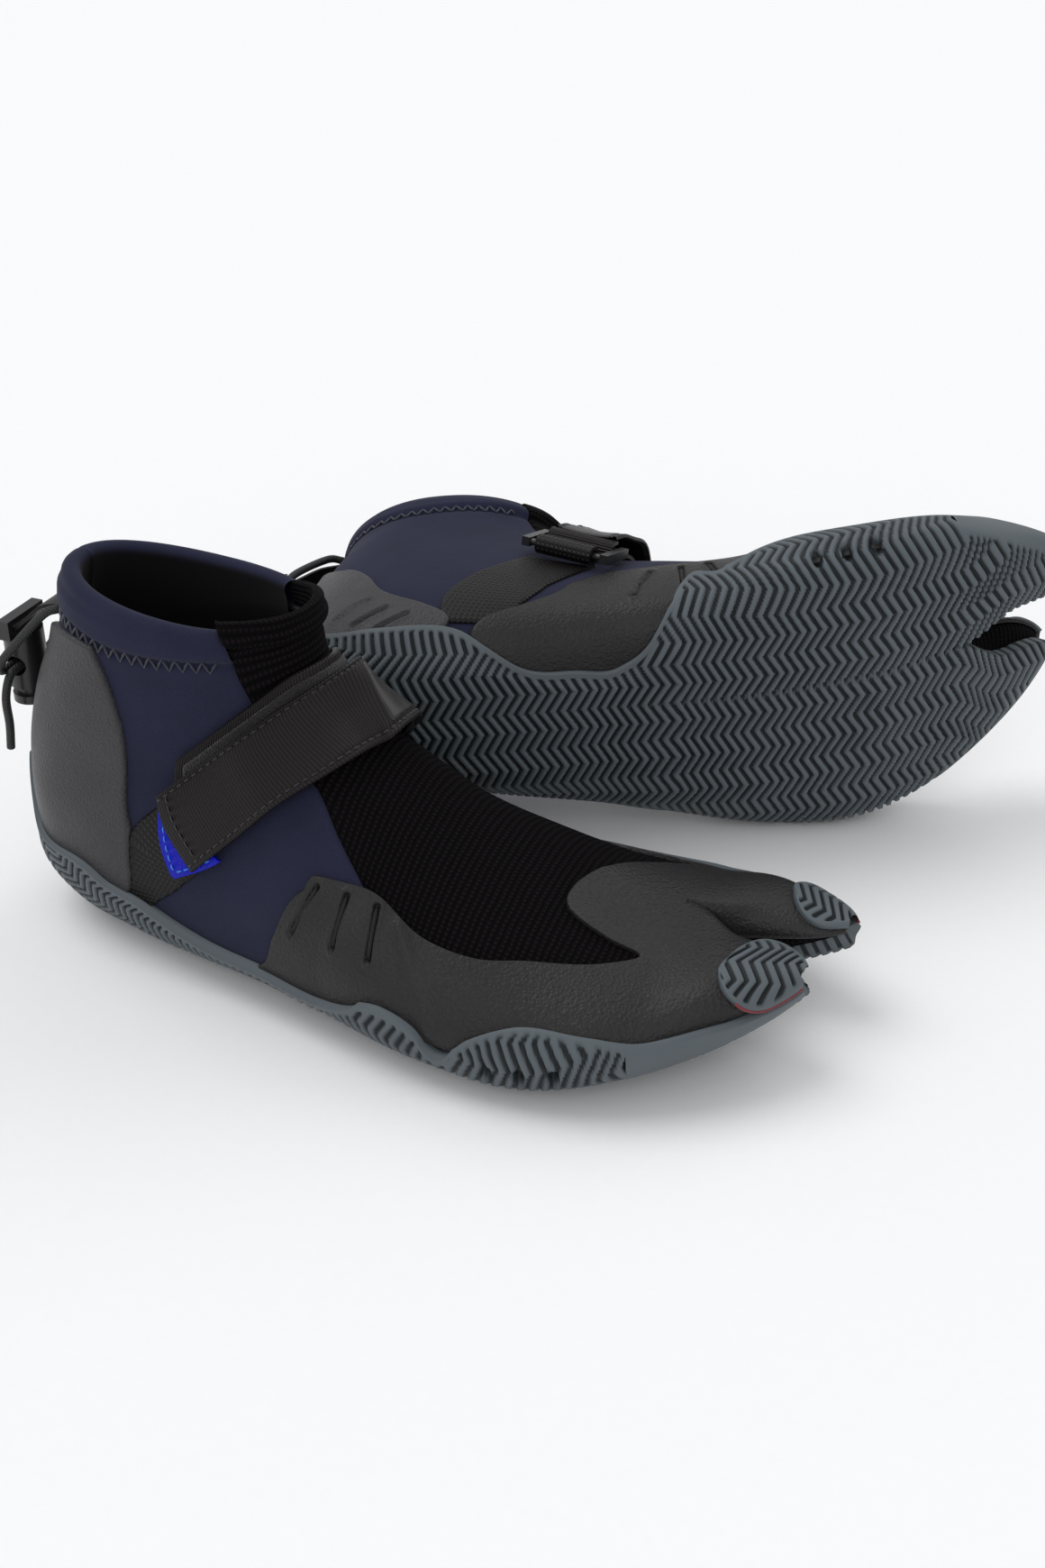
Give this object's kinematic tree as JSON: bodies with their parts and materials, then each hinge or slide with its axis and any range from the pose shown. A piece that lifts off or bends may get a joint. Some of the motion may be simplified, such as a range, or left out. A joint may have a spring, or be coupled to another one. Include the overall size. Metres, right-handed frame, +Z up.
{
  "type": "pair of split-toe reef boots",
  "caption": "Pair of low neoprene boots with split toes, moulded rubber soles, strapped instep and a heel cord with a push-button lock.",
  "frame": {"origin": "on the ground, under the middle of the right boot's heel", "axes": "+X from heel to toe of the right boot, +Y to its inner side, +Z up"},
  "size_m": [0.3332, 0.2615, 0.1286],
  "materials": {
    "rubber_sole": "matt bluish-grey rubber",
    "knit_neoprene": "black grid knit laminated to neoprene",
    "navy_neoprene": "smooth navy stretch fabric laminated to neoprene",
    "board": "fibre board, hidden",
    "foam": "cut foam footbed",
    "overlay": "matt dark grey synthetic leather",
    "heel_overlay": "pebbled grey synthetic leather",
    "webbing": "woven ribbed nylon webbing",
    "plastic": "satin black moulded plastic",
    "loop_pad": "black loop pile",
    "hook_pad": "black moulded hooks",
    "tab": "blue moulded tab",
    "cord": "braided elastic cord",
    "steel": "plain spring wire"
  },
  "bodies": {
    "right_boot": {"right_outsole": "rubber_sole", "right_small_toe_bumper": "rubber_sole", "right_big_toe_bumper": "rubber_sole", "right_bottom_sock": "knit_neoprene", "right_midsole_board": "board", "right_insole": "foam", "right_outer_quarter": "navy_neoprene", "right_inner_quarter": "navy_neoprene", "right_instep_panel": "knit_neoprene", "right_small_toe_sock": "knit_neoprene", "right_big_toe_sock": "knit_neoprene", "right_collar_hem": "navy_neoprene", "right_forefoot_overlay": "overlay", "right_heel_overlay": "heel_overlay", "right_outer_anchor": "webbing", "right_inner_anchor": "webbing", "right_strap_lower": "webbing", "right_loop_pad": "loop_pad", "right_drawcord": "cord"},
    "right_ring": {"right_strap_ring": "plastic"},
    "right_strap": {"right_strap_flap": "webbing", "right_hook_pad": "hook_pad"},
    "right_tab": {"right_pull_tab": "tab"},
    "right_lock": {"right_cord_lock": "plastic", "right_heel_loop": "webbing", "right_lock_spring": "steel", "right_outer_cord_end": "cord", "right_inner_cord_end": "cord"},
    "right_plunger": {"right_lock_plunger": "plastic"},
    "left_boot": {"left_outsole": "rubber_sole", "left_small_toe_bumper": "rubber_sole", "left_big_toe_bumper": "rubber_sole", "left_bottom_sock": "knit_neoprene", "left_midsole_board": "board", "left_insole": "foam", "left_outer_quarter": "navy_neoprene", "left_inner_quarter": "navy_neoprene", "left_instep_panel": "knit_neoprene", "left_small_toe_sock": "knit_neoprene", "left_big_toe_sock": "knit_neoprene", "left_collar_hem": "navy_neoprene", "left_forefoot_overlay": "overlay", "left_heel_overlay": "heel_overlay", "left_outer_anchor": "webbing", "left_inner_anchor": "webbing", "left_strap_lower": "webbing", "left_loop_pad": "loop_pad", "left_drawcord": "cord"},
    "left_ring": {"left_strap_ring": "plastic"},
    "left_strap": {"left_strap_flap": "webbing", "left_hook_pad": "hook_pad"},
    "left_tab": {"left_pull_tab": "tab"},
    "left_lock": {"left_cord_lock": "plastic", "left_heel_loop": "webbing", "left_lock_spring": "steel", "left_outer_cord_end": "cord", "left_inner_cord_end": "cord"},
    "left_plunger": {"left_lock_plunger": "plastic"}
  },
  "joints": [
    {"name": "right_ring_rock", "type": "hinge", "parent": "right_boot", "child": "right_ring", "pos_m": [0.05779, 0.03463, 0.05549], "axis": [-0.7945, 0.0049, 0.6072], "range_deg": [-3, 5]},
    {"name": "right_strap_peel", "type": "hinge", "parent": "right_boot", "child": "right_strap", "pos_m": [0.0653, 0.03139, 0.06551], "axis": [-0.7945, 0.0049, 0.6072], "range_deg": [0, 50]},
    {"name": "right_tab_fold", "type": "hinge", "parent": "right_strap", "child": "right_tab", "pos_m": [0.02971, -0.04096, 0.0541], "axis": [-0.6406, 0.2573, 0.7235], "range_deg": [0, 50]},
    {"name": "right_lock_swing", "type": "hinge", "parent": "right_boot", "child": "right_lock", "pos_m": [-0.02799, 0, 0.1099], "axis": [0, 1, 0], "range_deg": [0, 60]},
    {"name": "right_plunger_press", "type": "slide", "parent": "right_lock", "child": "right_plunger", "axis": [0, 0, 1], "range_m": [0, 0.0025], "stiffness_N_per_m": 800, "springref_m": -0.002, "deforming": ["right_lock_spring"]},
    {"name": "left_ring_rock", "type": "hinge", "parent": "left_boot", "child": "left_ring", "pos_m": [0.10152, 0.1248, 0.09853], "axis": [0.9891, -0.1468, -0.006], "range_deg": [-3, 5]},
    {"name": "left_strap_peel", "type": "hinge", "parent": "left_boot", "child": "left_strap", "pos_m": [0.10326, 0.13734, 0.0959], "axis": [0.9891, -0.1468, -0.006], "range_deg": [0, 130]},
    {"name": "left_tab_fold", "type": "hinge", "parent": "left_strap", "child": "left_tab", "pos_m": [0.07806, 0.11358, 0.02219], "axis": [0.9122, -0.311, -0.2669], "range_deg": [0, 50]},
    {"name": "left_lock_swing", "type": "hinge", "parent": "left_boot", "child": "left_lock", "pos_m": [0.00032, 0.13256, 0.06364], "axis": [0.0059, 0.0471, -0.9989], "range_deg": [0, 60]},
    {"name": "left_plunger_press", "type": "slide", "parent": "left_lock", "child": "left_plunger", "axis": [-0.4839, 0.8743, 0.0384], "range_m": [0, 0.0025], "stiffness_N_per_m": 800, "springref_m": -0.002, "deforming": ["left_lock_spring"]},
    {"name": "left_boot_lift", "type": "slide", "parent": "right_boot", "child": "left_boot", "axis": [0, 0, 1], "range_m": [0, 0.15]}
  ]
}
